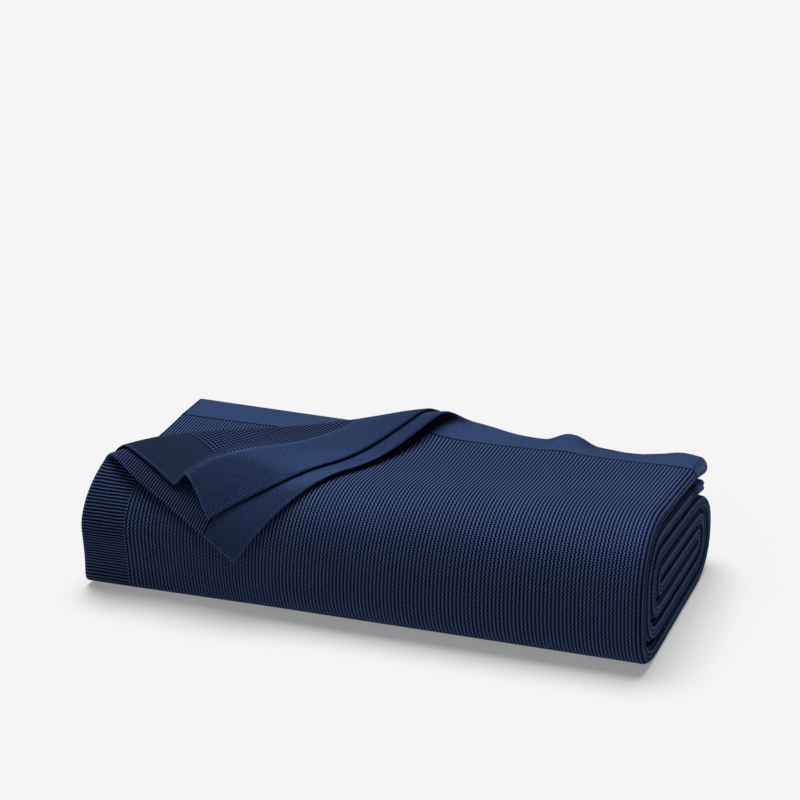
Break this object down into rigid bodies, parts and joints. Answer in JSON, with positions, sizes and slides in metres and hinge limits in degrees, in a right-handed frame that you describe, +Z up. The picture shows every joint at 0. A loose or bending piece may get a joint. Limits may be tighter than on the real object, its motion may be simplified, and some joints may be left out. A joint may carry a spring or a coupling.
{
  "type": "throw blanket",
  "caption": "Knitted throw blanket folded into a thick bundle, with the top layers' corners turned over, for warmth on a sofa or bed.",
  "frame": {"origin": "the middle of the folded bundle's footprint, on the surface it lies on", "axes": "+X along the bundle, +Y towards its back, +Z up"},
  "size_m": [0.3916, 0.1826, 0.11],
  "materials": {
    "panel_knit": "matt moss stitch knit",
    "band_knit": "matt fine knit"
  },
  "bodies": {
    "root": {"panel": "panel_knit", "side_band_a": "band_knit", "side_band_b": "band_knit"}
  },
  "joints": []
}
